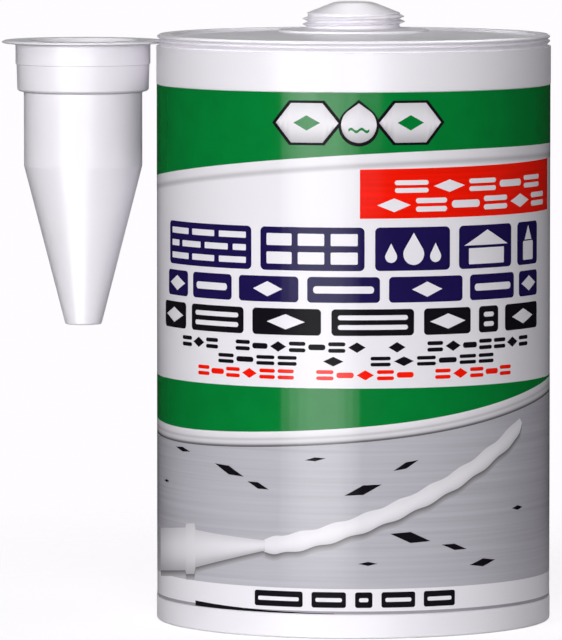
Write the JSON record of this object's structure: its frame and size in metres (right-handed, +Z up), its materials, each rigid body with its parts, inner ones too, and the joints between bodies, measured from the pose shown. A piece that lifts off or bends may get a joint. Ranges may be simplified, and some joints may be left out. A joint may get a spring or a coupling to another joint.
{
  "type": "caulk tube",
  "caption": "Moulded cartridge of sealing paste with a threaded neck, a wrap-round label, a sliding piston and a screw-on nozzle hooked on its rim.",
  "frame": {"origin": "centre of the tube's rear edge, on which it stands", "axes": "+Z up along the tube's axis, towards the neck; -Y is the front of the label; the nozzle hangs at the -X side"},
  "size_m": [0.0698, 0.05, 0.0784],
  "materials": {
    "tube_plastic": "white polyethylene with a soft gloss",
    "nozzle_plastic": "white polyethylene with a soft gloss, slightly translucent",
    "piston_plastic": "soft white polyethylene",
    "paste": "smooth white paste",
    "label_film": "glossy white film",
    "label_green": "glossy green print",
    "label_red": "glossy red print",
    "label_navy": "glossy dark blue print",
    "label_black": "glossy black print",
    "label_silver": "glossy silver-grey print, faintly brushed"
  },
  "bodies": {
    "cartridge": {"barrel": "tube_plastic", "label": "label_film", "sealant": "paste", "nozzle": "nozzle_plastic"},
    "piston": {"piston": "piston_plastic"}
  },
  "joints": [
    {"name": "piston_slide", "type": "slide", "parent": "cartridge", "child": "piston", "axis": [0, 0, 1], "range_m": [0, 0.052], "deforming": ["sealant"]}
  ]
}
